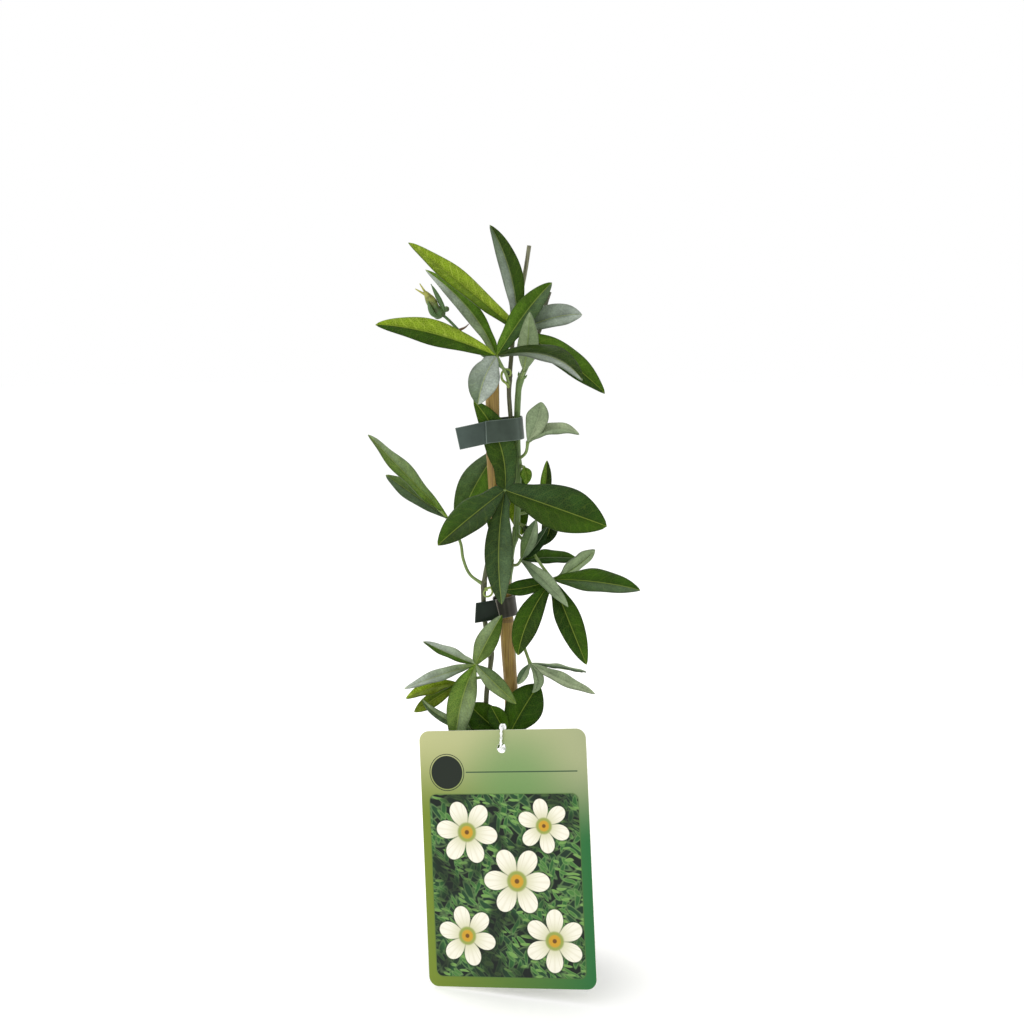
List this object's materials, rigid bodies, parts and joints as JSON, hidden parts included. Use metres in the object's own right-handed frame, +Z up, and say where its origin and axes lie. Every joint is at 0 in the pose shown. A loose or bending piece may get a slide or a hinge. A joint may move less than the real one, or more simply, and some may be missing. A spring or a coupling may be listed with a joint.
{
  "type": "passion flower vine in a nursery pot",
  "caption": "Young passion flower vine with lobed leaves, tied to a bamboo cane, in a round black nursery pot with soil and a blank picture hang tag.",
  "frame": {"origin": "centre of the flat underside of the pot, on the surface it stands on", "axes": "+Z up along the cane, -Y towards the side that the hang tag faces, +X to the right of someone who reads the tag"},
  "size_m": [0.1338, 0.1007, 0.3751],
  "materials": {
    "pot_plastic": "black moulded nursery plastic, satin",
    "soil": "dark peat potting soil with bark crumbs and a few white grains",
    "cane": "dry bamboo with fine lengthwise fibres and pale rings at its joints",
    "stem_brown": "woody brown green stem",
    "stem_green": "smooth green stem, purple brown on its young end",
    "leaf_dark": "dark green leaf with a waxy sheen, pale veins and a grey green underside",
    "leaf_fresh": "fresh yellow green leaf, light shining through it, with a net of fine veins",
    "leaf_pale": "pale grey green young leaf, soft sheen",
    "tendril": "thin light green tendril",
    "bud": "smooth green flower bud, yellow green at its tip",
    "tie_grey": "grey green flexible plastic strip, satin",
    "tie_dark": "dark green flexible plastic strip, satin",
    "card": null,
    "loop": "clear white plastic string"
  },
  "bodies": {
    "root": {"pot": "pot_plastic", "soil": "soil", "bamboo_cane": "cane", "stem_front": "stem_brown", "stem_back": "stem_green", "leaf_top_front": "leaf_dark", "leaf_top_back": "leaf_fresh", "leaf_young_top": "leaf_pale", "leaf_centre_front": "leaf_dark", "leaf_centre_back": "leaf_dark", "leaf_small_right": "leaf_dark", "leaf_pale_right": "leaf_pale", "leaf_left": "leaf_fresh", "leaf_right": "leaf_dark", "leaf_pale_middle": "leaf_pale", "leaf_right_back": "leaf_dark", "leaf_curled_middle": "leaf_dark", "leaf_low_front": "leaf_dark", "leaf_low_left": "leaf_fresh", "leaf_low_right": "leaf_pale", "leaf_base": "leaf_dark", "tendril_upper": "tendril", "tendril_lower": "tendril", "flower_bud": "bud", "tie_upper": "tie_grey", "tie_lower": "tie_dark", "label_card": "card", "label_loop": "loop"}
  },
  "joints": []
}
